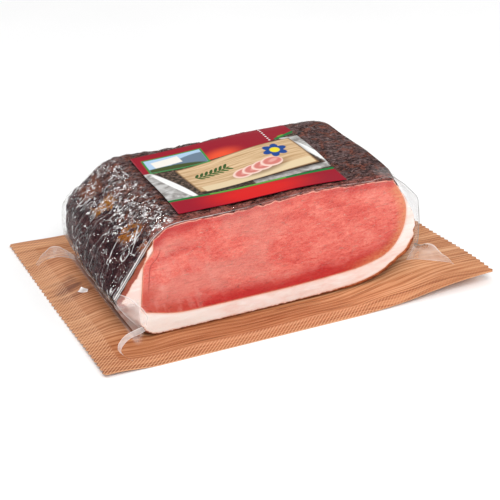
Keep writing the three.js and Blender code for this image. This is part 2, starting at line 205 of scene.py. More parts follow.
def join(*lines):
    """One line of lines that each begin where the last one ends."""
    return np.concatenate([lines[0]] + [line[1:] for line in lines[1:]])


def softened(points, rounds=3):
    """A line of points with its corners cut off, and its ends kept."""
    line = np.array(points, float)
    for _ in range(rounds):
        before, after = line[:-1], line[1:]
        cut = np.stack([0.75 * before + 0.25 * after, 0.25 * before + 0.75 * after], axis=1)
        line = np.concatenate([line[:1], cut.reshape(-1, line.shape[1]), line[-1:]])
    return line


def sideways(line):
    """At each point of a flat line, the direction to the left of the way that it runs."""
    run = np.gradient(line, axis=0)
    left = np.stack([-run[:, 1], run[:, 0]], axis=-1)
    return left / np.linalg.norm(left, axis=1, keepdims=True)


def distance_to(points, line):
    """How far each point is from a line of points, in the plane of the loin's section."""
    best = np.full(len(points), np.inf)
    for start, end in zip(line, line[1:]):
        run = end - start
        share = np.clip((points - start) @ run / max(run @ run, 1e-9), 0, 1)
        best = np.minimum(best, np.linalg.norm(points - start - share[:, None] * run, axis=1))
    return best


# The shapes that the pieces share

def sheet_height(x, y):
    """The base sheet's underside."""
    height = np.zeros(np.broadcast(x, y).shape)
    for side_x, side_y, lift, start_x in CORNER_LIFTS:
        along_x = ease(start_x, SHEET_LENGTH / 2, x * side_x)
        along_y = ease(CURL_START_Y, SHEET_DEPTH / 2, y * side_y)
        height += lift * along_x * along_y
    beside = 1 - ease(RISE_HALF_DEPTH, RISE_HALF_DEPTH + RISE_FADE, np.abs(y))
    for start, crest, fall, end, rise in RISES:
        height += rise * beside * ease(start, crest, x) * (1 - ease(fall, end, x))
    return height


def sheet_top(x, y):
    """The base sheet's upper face, which ripples a little where the sheet is lifted."""
    height = sheet_height(x, y)
    ripple = RIPPLE * noise(points_at(x, y), RIPPLE_SIZE, 31) * ease(40, 60, np.abs(y))
    return height + SHEET_THICKNESS + ripple * ease(0, 2, height)


def placed(section, y):
    """Where a point (x, z) of the loin's section lies at a place y along the loin."""
    x, z = section[..., 0], section[..., 1]
    top_z = TOP_RIGHT[1]
    wide_x = RIGHT_SIDE[2][0]
    upper = np.clip((z - REST_Z) / top_z, 0, 1)
    to_right = np.clip(x / wide_x, 0, 1)
    behind_cut = ease(CUT_Y, CUT_Y + SHOULDER_LENGTH, y)
    grown = SHOULDER_GROWTH * behind_cut * upper ** 2 * to_right ** 2
    on_flank = ease(*FLANK_BULGE_X, x) * ease(CUT_Y, CUT_Y + FLANK_BULGE_LENGTH, y)
    bulge = FLANK_BULGE * on_flank * hump(z, *FLANK_BULGE_Z)
    tuck = FLANK_TUCK * hump(z, *FLANK_TUCK_Z) * ease(*FLANK_TUCK_X, x) * ease(*FLANK_TUCK_Y, y)
    wave = TOP_WAVE * upper ** 3 * np.sin(y / TOP_WAVE_SIZE[1] + x / TOP_WAVE_SIZE[0])
    t = np.clip((y - BACK_Y + BACK_ROUND_LENGTH) / BACK_ROUND_LENGTH, 0, 1) * BACK_FLATNESS
    drawn_in = 1 - np.sqrt(1 - t * t)
    half_width = (wide_x - LEFT_SIDE[1][0]) / 2
    middle = (wide_x + LEFT_SIDE[1][0]) / 2
    moved_x = x + grown + FLANK_BULGE_WAY[0] * bulge + tuck
    moved_z = z + wave + FLANK_BULGE_WAY[1] * bulge
    across = middle + (moved_x - middle) * (1 - drawn_in * BACK_ROUND_WIDTH / half_width)
    height = REST_Z + (moved_z - REST_Z) * (1 - drawn_in * BACK_ROUND_HEIGHT / top_z)
    return points_at(across, y, height)


LEFT_LINE = rounded_line(LEFT_SIDE)
TOP_LINE = rounded_line(TOP_SIDE)
RIGHT_LINE = rounded_line(RIGHT_SIDE)
BOTTOM_LINE = rounded_line(BOTTOM_SIDE)
SEAM_RIGHT = along(RIGHT_LINE, SEAM_ENDS[0])
SEAM_LEFT = along(LEFT_LINE, SEAM_ENDS[1])
SEAM_LINE = rounded_line([(*SEAM_RIGHT, 0), *SEAM, (*SEAM_LEFT, 0)])


def crust_depth(points):
    """How deep the crust's crags go in below the loin's smooth outside."""
    lumps = noise(points, 6, 1) * 0.35 + noise(points, 2.8, 2) * 0.45 + noise(points, 1.4, 3) * 0.3
    return CRUST_DEPTH * np.clip(0.4 + 0.9 * lumps, 0, 1)


def seal_share(x, y):
    """1 in the seal band along the sheet's rim, 0 inside it, and fainter to the right."""
    from_end = SHEET_LENGTH / 2 - np.abs(x)
    from_side = SHEET_DEPTH / 2 - np.abs(y)
    at_ends = 1 - ease(END_SEAL_WIDTH - SEAL_FADE, END_SEAL_WIDTH, from_end)
    at_sides = 1 - ease(SIDE_SEAL_WIDTH - SEAL_FADE, SIDE_SEAL_WIDTH, from_side)
    return np.maximum(at_ends, at_sides) * (1 - 0.5 * ease(20, 76, x))


# Meshes

def show(name, data):
    """Puts an object with that data into the scene."""
    made = bpy.data.objects.new(name, data)
    bpy.context.scene.collection.objects.link(made)
    return made


def grid_faces(rows, columns, start=0):
    """The faces of a grid whose points are numbered row by row."""
    first = start + np.arange((rows - 1) * columns).reshape(rows - 1, columns)[:, :-1].ravel()
    return np.stack([first, first + 1, first + columns + 1, first + columns], axis=-1)


def add_attribute(mesh, name, values):
    """Gives each of a mesh's points a number, or a direction where values has three columns."""
    single = values.ndim == 1 or values.shape[1] == 1
    made = mesh.attributes.new(name, "FLOAT" if single else "FLOAT_VECTOR", "POINT")
    made.data.foreach_set("value" if single else "vector", values.ravel())


def weld_points(mesh):
    """Joins the points that lie on each other, and drops the faces that this leaves without area."""
    work = bmesh.new()
    work.from_mesh(mesh)
    bmesh.ops.remove_doubles(work, verts=work.verts, dist=0.002 * MM)
    bmesh.ops.dissolve_degenerate(work, edges=work.edges, dist=0.0005 * MM)
    work.to_mesh(mesh)
    work.free()


def make_piece(name, grids, looks, sharp=40, weld=True):
    """One object of grids, each (points in mm, number of its material, its attributes). Grids that
    share an edge are welded there. Attributes are numbers or directions, one for each point."""
    points, faces, slots = [], [], []
    values = {}
    for grid, slot, attributes in grids:
        rows, columns = grid.shape[:2]
        start = sum(len(part) for part in points)
        points.append(grid.reshape(-1, 3))
        made = grid_faces(rows, columns, start)
        faces.append(made)
        slots.append(np.full(len(made), slot))
        for key, value in attributes.items():
            values.setdefault(key, []).append((start, value.reshape(rows * columns, -1)))
    points = np.concatenate(points)
    mesh = bpy.data.meshes.new(name)
    mesh.from_pydata((points * MM).tolist(), [], np.concatenate(faces).tolist())
    mesh.polygons.foreach_set("material_index", np.concatenate(slots))
    for key, parts in values.items():
        data = np.zeros((len(points), parts[0][1].shape[1]))
        for start, value in parts:
            data[start:start + len(value)] = value
        add_attribute(mesh, key, data)
    if weld:
        weld_points(mesh)
    mesh.polygons.foreach_set("use_smooth", np.ones(len(mesh.polygons), bool))
    mesh.set_sharp_from_angle(angle=math.radians(sharp))
    for look in looks:
        mesh.materials.append(look)
    return show(name, mesh)


def thicken(piece, thickness, rim_slot=0):
    """Gives a surface its thickness, behind its outer face."""
    shell = piece.modifiers.new("thickness", "SOLIDIFY")
    shell.thickness = thickness * MM
    shell.offset = -1
    shell.material_offset_rim = rim_slot


def read_mesh(mesh):
    """A mesh's points and their outward directions, in millimetres."""
    points = np.empty(len(mesh.vertices) * 3)
    mesh.vertices.foreach_get("co", points)
    normals = np.empty(len(mesh.vertices) * 3)
    mesh.vertex_normals.foreach_get("vector", normals)
    return points.reshape(-1, 3) / MM, normals.reshape(-1, 3)


# Materials

class Value:
    """A number that varies over a surface. Values can be added and multiplied, and a | b is the
    larger of two."""

    def __init__(self, look, socket):
        self.look = look
        self.socket = socket

    def math(self, operation, other=0.0):
        return self.look.value("Math", {0: self, 1: other}, operation=operation)

    def __add__(self, other):
        return self.math("ADD", other)

    def __sub__(self, other):
        return self.math("SUBTRACT", other)

    def __mul__(self, other):
        return self.math("MULTIPLY", other)

    def __or__(self, other):
        return self.math("MAXIMUM", other)

    def __abs__(self):
        return self.math("ABSOLUTE")

    def within(self, low, high):
        """0 at low, 1 at high, and smooth between."""
        inputs = {"Value": self, "From Min": low, "From Max": high}
        return self.look.value("MapRange", inputs, "Result", interpolation_type="SMOOTHSTEP")

    def near(self, middle, half_width):
        """1 at the middle, falling to 0 on both its sides."""
        return abs(self - middle).within(half_width, 0)


class Look:
    """A material, with short calls that add nodes to it. Sizes are in millimetres."""

    def __init__(self, name, colour=None):
        self.material = bpy.data.materials.new(name)
        self.material.use_nodes = True
        self.tree = self.material.node_tree
        self.tree.nodes.clear()
        self.place = self.value("TexCoord", {}, "Object")
        self.x, self.y, self.z = self.split(self.place)
        self.colour = colour

    def node(self, kind, inputs, **settings):
        made = self.tree.nodes.new("ShaderNode" + kind)
        for key, value in settings.items():
            setattr(made, key, value)
        for key, value in inputs.items():
            socket = made.inputs[key]
            if isinstance(value, Value):
                self.tree.links.new(value.socket, socket)
            else:
                socket.default_value = (*value, 1) if socket.type == "RGBA" else value
        return made

    def value(self, kind, inputs, output=0, **settings):
        return Value(self, self.node(kind, inputs, **settings).outputs[output])

    def attribute(self, name, output="Fac"):
        return self.value("Attribute", {}, output, attribute_name=name)

    def split(self, vector):
        return [Value(self, socket) for socket in self.node("SeparateXYZ", {"Vector": vector}).outputs]

    def scaled(self, size, seed=0, place=None, turn=(0, 0, 0)):
        """The surface's coordinates in steps of that size, which may differ along X, Y and Z."""
        sizes = (size,) * 3 if isinstance(size, (int, float)) else size
        turned = self.value("Mapping", {"Vector": place or self.place, "Rotation": turn})
        scale = [1 / (value * MM) for value in sizes]
        shift = seed * 7.3, seed * 3.1, seed
        return self.value("Mapping", {"Vector": turned, "Scale": scale, "Location": shift})

    def noise(self, size, detail=2, roughness=0.5, seed=0, bend=0, **options):
        inputs = {
            "Vector": self.scaled(size, seed, **options), "Scale": 1, "Detail": detail,
            "Roughness": roughness, "Distortion": bend,
        }
        return self.value("TexNoise", inputs, "Fac")

    def zone(self, x=None, y=None, z=None):
        """0 to 1 between two places along each axis that is given, multiplied."""
        total = 1
        for axis, span in ((self.x, x), (self.y, y), (self.z, z)):
            if span:
                total = axis.within(span[0] * MM, span[1] * MM) * total
        return total

    def mix(self, under, over, factor, blend="MIX"):
        return self.value("Mix", {0: factor, 6: under, 7: over}, 2, data_type="RGBA", blend_type=blend)

    def lay(self, colour, factor, blend="MIX"):
        """Lays a colour over the material's own one."""
        self.colour = self.mix(self.colour, colour, factor, blend)

    def ramp(self, value, stops):
        made = self.node("ValToRGB", {"Fac": value})
        bar = made.color_ramp.elements
        while len(bar) < len(stops):
            bar.new(1)
        for element, (position, colour) in zip(bar, stops):
            element.position = position
            element.color = (*colour, 1)
        return Value(self, made.outputs["Color"])

    def bump(self, height, depth):
        return self.value("Bump", {"Height": height, "Distance": depth * MM})

    def shader(self, kind, **inputs):
        """A shader, whose inputs' names are written with underscores."""
        named = {key.replace("_", " "): value for key, value in inputs.items()}
        return self.value("Bsdf" + kind, named)

    def mix_shaders(self, under, over, factor):
        return self.value("MixShader", {0: factor, 1: under, 2: over})

    def finish(self, shader):
        self.node("OutputMaterial", {"Surface": shader})
        return self.material

    def principled(self, **inputs):
        return self.finish(self.shader("Principled", Base_Color=self.colour, **inputs))


def crust_stains(look, grains):
    """Rusty and ochre stains along the ledge below the left shoulder: place, reach and tint."""
    ledge = look.zone(x=(-57.5, -60), z=(37, 39.5)) * look.zone(z=(46, 44))
    along_ledge = look.y + (look.noise(5, 3, seed=9) - 0.5) * (24 * MM)
    for place, reach, tint in (
        (21, 12, (0.26, 0.08, 0.042)), (3, 8.5, (0.46, 0.165, 0.018)),
        (-25, 4.8, (0.46, 0.15, 0.018)), (-36.5, 5, (0.4, 0.1, 0.026)),
    ):
        stain = along_ledge.near(place * MM, reach * MM).within(0.3, 0.5)
        look.lay(tint, stain * ledge * grains.within(0.36, 0.46) * 0.9)


def crust_look():
    """Spiced, smoked crust: greyish purple and fibrous on top, dark and crumbly on the left flank."""
    look = Look("speck_crust")
    lumps = look.noise(4.5, 5, 0.62, bend=0.5)
    fibres = look.noise((3.4, 1.4, 1.4), 6, 0.7, seed=2, bend=1.4)
    crumbs = look.value("TexVoronoi", {"Vector": look.scaled(1.5, 4), "Scale": 1}, "Distance")
    grains = look.noise(0.7, 3, 0.6, seed=5)
    look.colour = look.ramp(fibres, [
        (0.37, (0.014, 0.006, 0.007)), (0.44, (0.07, 0.03, 0.029)), (0.5, (0.15, 0.08, 0.076)),
        (0.57, (0.215, 0.138, 0.132)), (0.67, (0.42, 0.325, 0.31)),
    ])
    rust = lumps.within(0.48, 0.6) * fibres.within(0.4, 0.52)
    look.lay((0.29, 0.072, 0.034), rust * 0.7)
    cracks = look.noise((7, 3.2, 3.2), 4, 0.6, seed=12, bend=1).near(0.5, 0.035)
    look.lay((0.01, 0.005, 0.005), cracks * 0.75)
    dark = look.ramp(lumps * 0.5 + grains * 0.5, [
        (0.38, (0.008, 0.001, 0.003)), (0.47, (0.032, 0.007, 0.011)), (0.55, (0.085, 0.024, 0.028)),
        (0.64, (0.2, 0.095, 0.09)),
    ])
    below_shoulder = (look.z + (lumps - 0.5) * (20 * MM)).within(46.5 * MM, 40.5 * MM)
    look.lay(dark, look.zone(x=(-46, -56)) * below_shoulder)
    crust_stains(look, grains)
    by_cut = look.zone(y=(-33, -37), z=(42, 47))
    look.lay((0.46, 0.135, 0.105), by_cut * fibres.within(0.42, 0.5) * 0.85)
    height = lumps * 1.2 - crumbs * 0.5 + grains * 0.35 + fibres * 0.9 - cracks * 0.5
    return look.principled(Roughness=0.6, Normal=look.bump(height, 1.4), Specular_IOR_Level=0.06)


def lean_shades(look, from_seam, from_outside, grain):
    """The lean's broad shades: darker along the fat, the top and the rim, paler and tan in places."""
    pale = look.noise((26, 26, 15), seed=13).within(0.42, 0.56)
    look.lay((0.66, 0.245, 0.195), pale * look.zone(x=(12, -22)) * 0.5)
    wander = (look.noise((14, 14, 5), 3, 0.55, seed=4) - 0.5) * 9
    low = (from_seam + wander).within(10, 1.5) * look.zone(z=(28, 18))
    look.lay((0.48, 0.008, 0.014), low * look.zone(x=(-62, -36)) * 0.82)
    look.lay((0.5, 0.045, 0.024), low * look.zone(x=(-36, -56)) * 0.7)
    high = (from_outside + wander).within(7, 1)
    look.lay((0.52, 0.03, 0.028), high * look.zone(x=(-30, -46)) * 0.75)
    streaks = look.noise((2.6, 2.6, 12), 3, 0.6, seed=11, turn=(0, 0.35, 0)).within(0.48, 0.66)
    look.lay((0.74, 0.3, 0.25), streaks * look.zone(x=(-24, -40), z=(46, 34)) * 0.32)
    rim = (from_outside + wander * 0.7).within(4.6, 1)
    look.lay((0.42, 0.016, 0.026), rim * (look.zone(x=(10, 34)) * 0.14 + 0.34))
    by_right_fat = from_seam.within(6, 0.5) * from_outside.within(1.5, 6) * look.zone(x=(24, 46))
    look.lay((0.7, 0.29, 0.13), by_right_fat * grain.within(0.3, 0.56) * 0.75)


def lean_look():
    """Cured lean: rosy red and finely fibrous, with a pale sheen and a dark crust at its outside."""
    look = Look("speck_lean")
    from_seam = look.attribute("from_seam")
    from_outside = look.attribute("from_outside")
    fibres = look.noise((4.6, 4.6, 1.3), 6, 0.68, bend=0.7, turn=(0, 0.06, 0))
    clouds = look.noise((17, 17, 10), 3, 0.55, seed=3, bend=0.9)
    grain = look.noise((1, 1, 0.7), 5, 0.8, seed=17, bend=0.3)
    look.colour = look.ramp(fibres * 0.3 + clouds * 0.32 + grain * 0.38, [
        (0.38, (0.52, 0.05, 0.042)), (0.45, (0.66, 0.1, 0.078)), (0.51, (0.74, 0.155, 0.118)),
        (0.57, (0.8, 0.22, 0.17)), (0.66, (0.86, 0.36, 0.29)),
    ])
    flecks = look.noise((2.2, 2.2, 0.7), 5, 0.75, seed=7, bend=0.6).within(0.58, 0.68)
    look.lay((0.91, 0.5, 0.41), flecks * 0.8)
    lean_shades(look, from_seam, from_outside, grain)
    crack = from_seam.near(2.9, 0.38) * look.zone(x=(-50, -54), z=(20, 24)) * look.zone(z=(41, 37))
    look.lay((0.3, 0.02, 0.02), crack * 0.7)
    look.lay((0.84, 0.36, 0.22), from_seam.within(0.7, 0.1) * 0.55)
    sheen = (from_outside + fibres).near(1, 0.35)
    look.lay((0.88, 0.55, 0.42), sheen * fibres.within(0.42, 0.5) * 0.7)
    look.lay((0.2, 0.065, 0.05), (from_outside + fibres * 1.6).within(1.2, 0.9))
    return look.principled(
        Roughness=0.45, Normal=look.bump(fibres + grain * 0.5 + flecks * 0.4, 0.4), Specular_IOR_Level=0.15,
        Subsurface_Weight=0.1, Subsurface_Radius=(1, 0.25, 0.2), Subsurface_Scale=1.2 * MM,
    )


def lay_rind(look, from_outside):
    """The brown rind under the fat and up its right side, and the meaty skin on the left flank."""
    rough = look.noise((2.6, 2.6, 1.4), 5, 0.7, seed=5)
    on_flank = look.zone(x=(-50, -56), z=(42.5, 31.5))
    below = look.zone(z=(15.5, 12.5)) | look.zone(x=(40, 50), z=(21.5, 17))
    to_right = look.zone(x=(14, 44))
    wander = (rough - 0.5) * (to_right * -0.9 + 1.7)
    width = (below * (to_right + 1) | on_flank * look.zone(z=(12, 17)) * 2.9) - 0.5
    inside_rind = from_outside + wander - width
    look.lay((0.74, 0.38, 0.22), inside_rind.within(0.8, 0.1) * 0.5)
    rind = look.ramp(rough * 0.6 + from_outside * 0.14, [
        (0.22, (0.07, 0.018, 0.009)), (0.32, (0.2, 0.045, 0.018)), (0.42, (0.38, 0.1, 0.036)),
        (0.58, (0.52, 0.19, 0.08)),
    ])
    meaty = (from_outside + rough * 2).within(1.4, 1.9) * on_flank
    look.lay(look.mix(rind, (0.27, 0.045, 0.03), meaty * 0.85), inside_rind.within(0.15, -0.15))


def fat_look():
    """Cured fat: creamy white, rosy along the lean, with its rind."""
    look = Look("speck_fat")
    clouds = look.noise((9, 9, 3), 4, 0.6)
    look.colour = look.ramp(clouds, [
        (0.34, (0.86, 0.66, 0.6)), (0.5, (0.9, 0.76, 0.71)), (0.66, (0.93, 0.84, 0.8)),
    ])
    look.lay((0.86, 0.83, 0.78), look.zone(x=(-20, -50)) * 0.6)
    left_strip = look.zone(x=(-56, -62), z=(13, 22))
    look.lay((0.82, 0.58, 0.52), left_strip * clouds.within(0.3, 0.55) * 0.75)
    look.lay((0.88, 0.46, 0.34), look.attribute("from_seam").within(1.2, 0) * 0.6)
    lay_rind(look, look.attribute("from_outside"))
    return look.principled(
        Roughness=0.4, Normal=look.bump(clouds, 0.3), Specular_IOR_Level=0.15, Subsurface_Weight=0.2,
        Subsurface_Radius=(1, 0.6, 0.5), Subsurface_Scale=1.5 * MM,
    )


def hatch_height(look):
    """Embossed slanting lines in the seal band along the sheet's rim."""
    wave = ((look.x - look.y) * (2 * math.pi / (HATCH_PITCH * MM))).math("SINE")
    return (wave * 0.5 + 0.5) * look.attribute("seal")


def sheet_look():
    """Wood print: rings cut along the grain, with fine pores, under embossed seal lines, and painted shade
    in front of the loin.
    """
    look = Look("wood_print")
    grain = look.attribute("grain", "Vector")
    turns = look.split(grain)[1] * (2 * math.pi / (RING_PITCH * MM))
    rings = (turns + look.noise((70, 9, 10), 3, 0.55, place=grain) * 26).math("SINE")
    fine = look.noise((30, 0.45, 10), 4, 0.65, seed=3, place=grain)
    broad = look.noise((80, 7, 10), seed=6, place=grain)
    look.colour = look.ramp(rings * 0.07 + fine * 0.65 + broad * 0.35, [
        (0.34, (0.3, 0.1, 0.04)), (0.43, (0.45, 0.175, 0.078)), (0.5, (0.56, 0.245, 0.115)),
        (0.58, (0.64, 0.31, 0.155)), (0.7, (0.8, 0.46, 0.27)),
    ])
    vein = look.noise((46, 1.3, 10), seed=8, place=grain).within(0.36, 0.29)
    look.lay((0.17, 0.055, 0.025), vein * 0.7)
    look.lay((0.17, 0.062, 0.036), look.attribute("knot") * fine.within(0.64, 0.42) * 0.9)
    # Painted shade: the wood is darkened in a band along the loin's cut, where the loin shades the sheet.
    look.lay((0.74, 0.64, 0.58), look.zone(x=(45, -10), y=(-30, -46)), blend="MULTIPLY")
    hatch = hatch_height(look)
    look.lay((0.9, 0.54, 0.33), hatch * hatch * hatch * 0.55)
    return look.principled(Roughness=0.5, Normal=look.bump(hatch, 0.05), Specular_IOR_Level=0.08)


def sheet_edge_look():
    return Look("sheet_edge", (0.62, 0.3, 0.15)).principled(Roughness=0.6)


def film_wrinkles_and_highlights(look):
    """Fine wrinkles, long and short, that slant down the left flank; the same lines are painted white as
    their highlights.
    """
    slope = (0, math.radians(WRINKLE_SLOPE), 0)
    breaks = look.noise(8, seed=5)
    long_ones = look.noise((8, 6.5, 26), seed=1, bend=0.6, turn=slope).near(0.5, 0.016)
    short_ones = look.noise((4, 2.6, 9), seed=8, bend=0.8, turn=slope).near(0.47, 0.016)
    bright = long_ones * breaks.within(0.42, 0.5) | short_ones * breaks.within(0.53, 0.47) * 0.6
    return bright * look.attribute("wrinkled")


def film_glints(look, shoulder):
    """Small white glints: torn curls and spots on the shoulder, and rare spots on the flank."""
    curls = look.noise(2.9, seed=21, bend=1.2).near(0.55, 0.045)
    torn = look.noise(2.3, seed=22).within(0.46, 0.52)
    spots = look.noise(1.5, seed=23, bend=0.5).within(0.62, 0.65)
    crowd = look.noise(8, seed=24).within(0.34, 0.5) * shoulder.within(0.45, 0.9)
    rare = look.noise(6, seed=25).within(0.56, 0.62) * look.attribute("wrinkled")
    return (curls * torn | spots) * crowd | spots * rare


def film_look():
    """Clear film: seen through except for its gloss, its glints, its sticking folds with painted
    highlights, its hazy ears, a painted wood reflection and a painted fold shade.
    """
    look = Look("clear_film", (0.9, 0.88, 0.87))
    shoulder = look.attribute("sparkle")
    painted_wood_reflection = look.attribute("painted_wood_reflection")
    wrinkles_and_highlights = film_wrinkles_and_highlights(look)
    glints = film_glints(look, shoulder)
    bumps = look.noise(2.6, 3, bend=0.6) + look.noise(0.8, seed=3) * 0.3
    relief = bumps * shoulder * 1.5 + wrinkles_and_highlights * 0.5 + hatch_height(look) * 0.1
    facing = look.value("LayerWeight", {"Blend": 0.5}, "Facing")
    shine = (facing.math("POWER", 5) * 0.16 + 0.012) * look.attribute("gloss")
    # The milky share holds real haze and painted highlights: wrinkles, glints, fins and ribbon edges are
    # laid as white haze.
    haze_and_highlight = look.attribute("haze_and_highlight") | wrinkles_and_highlights * 0.7 | glints * 0.95 | painted_wood_reflection * 0.8
    # Painted reflection: the wood's brown is laid on the film between the left flank's lower edge and the
    # sheet.
    look.lay((0.27, 0.11, 0.07), painted_wood_reflection)
    # Painted shade: grey laid on the film along the right side's fold and its crease fin.
    look.lay((0.28, 0.28, 0.27), look.attribute("painted_fold_shade"))
    clear = look.shader("Transparent", Color=(0.99, 0.99, 0.99))
    milky = look.shader("Diffuse", Color=look.colour)
    gloss = look.shader("Glossy", Color=(1, 1, 1), Roughness=0.05, Normal=look.bump(relief, 0.5))
    return look.finish(look.mix_shaders(look.mix_shaders(clear, milky, haze_and_highlight), gloss, shine))


class Print(Look):
    """A printed surface: shapes laid over each other, in millimetres from the label's front left."""

    def __init__(self, name, ground):
        super().__init__(name, ground)
        self.place = self.attribute("print", "Vector")

    def local(self, centre, half_size, turn):
        """The print's X and Y, measured from a centre in half sizes and turned by degrees."""
        inputs = {
            "Vector": self.place, "Rotation": (0, 0, math.radians(turn)),
            "Location": (centre[0] * MM, centre[1] * MM, 0),
            "Scale": (half_size[0] * MM, half_size[1] * MM, 1),
        }
        return self.split(self.value("Mapping", inputs, vector_type="TEXTURE"))[:2]

    def ellipse(self, centre, half_size, turn=0, soft=0.3):
        x, y = self.local(centre, half_size, turn)
        return (x * x + y * y).math("SQRT").within(1 + soft / 2, 1 - soft / 2)

    def box(self, centre, half_size, turn=0, soft=0.3):
        x, y = self.local(centre, half_size, turn)
        fade_x, fade_y = soft / half_size[0] / 2, soft / half_size[1] / 2
        return abs(x).within(1 + fade_x, 1 - fade_x) * abs(y).within(1 + fade_y, 1 - fade_y)


def print_paper(look):
    """The middle of the label: a dark speckled ground between crumpled pale papers."""
    ground = look.ramp(look.noise(1.6, 4, 0.65, seed=2), [
        (0.38, (0.012, 0.009, 0.006)), (0.48, (0.05, 0.032, 0.02)), (0.6, (0.17, 0.11, 0.085)),
    ])
    middle = look.box((38, 27.6), (38.6, 15.6))
    look.lay(ground, middle | look.box((69.5, 44), (8.5, 4), 24))
    paper = look.ramp(look.noise((6, 3.4, 6), 4, 0.6, bend=0.8), [
        (0.38, (0.24, 0.225, 0.215)), (0.5, (0.4, 0.385, 0.37)), (0.6, (0.56, 0.55, 0.54)),
    ])
    look.lay(paper, look.box((-1.5, 27), (9.5, 26), 17) * middle)
    look.lay((0.86, 0.86, 0.85), look.ellipse((8.2, 26), (1.9, 17), 17) * middle)
    look.lay(paper, look.box((78.5, 30), (6.2, 26), 17) * look.box((38, 29.5), (38.4, 17)))
    look.lay((0.88, 0.88, 0.87), look.ellipse((74.2, 30), (1.7, 16), 17) * look.box((38, 30), (38.4, 18)))
    look.lay(paper, look.box((58, 14.8), (18, 2), 3))


def print_plaque(look):
    """A plain wooden plaque and its shadows."""
    grain = look.noise((24, 1.2, 10), 4, 0.6, seed=3, turn=(0, 0, math.radians(-4)))
    plank = look.mix((0.47, 0.29, 0.14), (0.7, 0.5, 0.3), grain.within(0.35, 0.62))
    look.lay((0.02, 0.012, 0.008), look.box((44, 27.6), (29, 13.2), 4, soft=3) * 0.7)
    look.lay((0.22, 0.12, 0.055), look.box((43.5, 30), (28.8, 13.2), 4))
    look.lay(plank, look.box((43.5, 30.2), (28.1, 12.6), 4, soft=1))
    look.lay((0.72, 0.57, 0.36), look.box((45, 19.9), (27, 2.7), 5.5, soft=0.8))
    look.lay((0.19, 0.1, 0.05), look.ellipse((48, 24.6), (13, 4.2), 8, soft=0.7) * 0.7)


def print_slices(look):
    """Four slices of meat that overlap on the plaque."""
    for step in range(4):
        x, y = 39.5 + 5 * step, 24.6 + 1.1 * step
        turn = 20 - 7 * step
        look.lay((0.84, 0.6, 0.52), look.ellipse((x, y), (5.2, 3.9), turn, soft=0.12))
        look.lay((0.6, 0.19, 0.16), look.ellipse((x + 0.4, y + 0.3), (4.3, 3), turn))
        look.lay((0.74, 0.36, 0.31), look.ellipse((x + 1, y + 0.8), (2.4, 1.1), turn + 20, soft=0.9))


def print_sprig(look):
    look.lay((0.05, 0.09, 0.02), look.box((28, 31.5), (8.5, 0.3), 12))
    for step in range(7):
        x, y = 20.5 + 2.4 * step, 30.2 + 0.5 * step
        look.lay((0.035, 0.09, 0.018), look.ellipse((x, y + 1.5), (2, 0.7), 58))
        look.lay((0.06, 0.12, 0.026), look.ellipse((x + 0.9, y - 1.3), (2, 0.7), -36))


def print_flower(look):
    for turn in range(12, 372, 60):
        angle = math.radians(turn)
        at = FLOWER[0] + 3.1 * math.cos(angle), FLOWER[1] + 3.1 * math.sin(angle)
        look.lay((0.012, 0.06, 0.26), look.ellipse(at, (2.9, 1.9), turn, soft=0.25))
    look.lay((0.8, 0.66, 0.03), look.ellipse(FLOWER, (2.3, 2.3)))


def print_panel(look):
    """A small plain hillside with a bare tag, in a green frame."""
    look.lay((0.03, 0.26, 0.05), look.box((17.4, 49.3), (14.2, 6.9), -2, soft=0.8))
    inside = look.box((17.4, 49.3), (13.3, 6.1), -2, soft=0.4)
    look.lay((0.4, 0.56, 0.74), inside)
    look.lay((0.14, 0.2, 0.27), look.ellipse((26, 46), (12, 6.4), 6, soft=0.15) * inside)
    look.lay((0.055, 0.075, 0.02), look.ellipse((14, 41.6), (17, 5.6), -4, soft=0.2) * inside)
    look.lay((0.82, 0.78, 0.72), look.box((13.5, 50.6), (6.6, 2.9), 5, soft=0.6))


def print_stripes(look):
    """Green stripes with a light inlay, the banner below them and a row of pale dots."""
    for (x, y), turn, reach in (((38, 11.6), 0.3, 60), ((71, 49), 24, 6.5)):
        look.lay((0.008, 0.17, 0.036), look.box((x, y), (reach, 0.85), turn))
        look.lay((0.15, 0.36, 0.04), look.box((x - 2, y + 0.1), (reach / 3.4, 0.5), turn, soft=0.8))
    banner = look.ellipse((38, 5.6), (21, 8), 0.8, soft=1.2) * look.box((37, 5.4), (60, 5.2))
    look.lay((0.66, 0.012, 0.01), banner * 0.95)
    for step in range(7):
        at = 62.3 + 0.13 * step, 46.6 + 2.2 * step
        look.lay((0.88, 0.86, 0.84), look.ellipse(at, (0.55, 0.5), soft=0.4))


def label_look():
    """A plain label of the usual kind: crimson bands, green stripes, papers and a wooden plaque."""
    look = Print("label_print", (0.3, 0.006, 0.02))
    look.lay((0.8, 0.085, 0.03), look.ellipse((37, 44), (8, 5), 8, soft=1.5) * 0.95)
    print_paper(look)
    print_plaque(look)
    print_slices(look)
    print_sprig(look)
    print_flower(look)
    print_panel(look)
    print_stripes(look)
    return look.principled(Roughness=0.4, Specular_IOR_Level=0.1)


def floor_look():
    look = Look("floor")
    look.colour = look.ramp(look.noise(90), [(0.3, (0.95, 0.95, 0.95)), (0.7, (0.97, 0.97, 0.97))])
    return look.principled(Roughness=0.8, Specular_IOR_Level=0.1)


# Pieces

def ready(piece, node):
    """Sets a fine piece in the place of the solid that it dresses."""
    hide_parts(node)
    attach(piece, "root")


def wood_grain(x, y):
    """Coordinates that run with the printed grain, which bends and parts round knots."""
    flat = points_at(x, y)
    across = y + 6 * noise(flat, (60, 34, 1), 21) + 1.6 * noise(flat, (24, 12, 1), 22)
    for knot_x, knot_y, size in KNOTS:
        away = np.hypot((x - knot_x) / 2.2, y - knot_y)
        across = across - 0.8 * (y - knot_y) * np.exp(-(away / size) ** 2)
    return points_at(x, across) * MM


def knot_share(x, y):
    """1 in the smoky heart of the printed knot at the left, 0 away from it."""
    away = np.hypot((x + 79) / 8, (y - 9) / 9) + 0.35 * noise(points_at(x, y), (4, 2.2, 1), 33)
    return 1 - ease(0.4, 1.4, away)


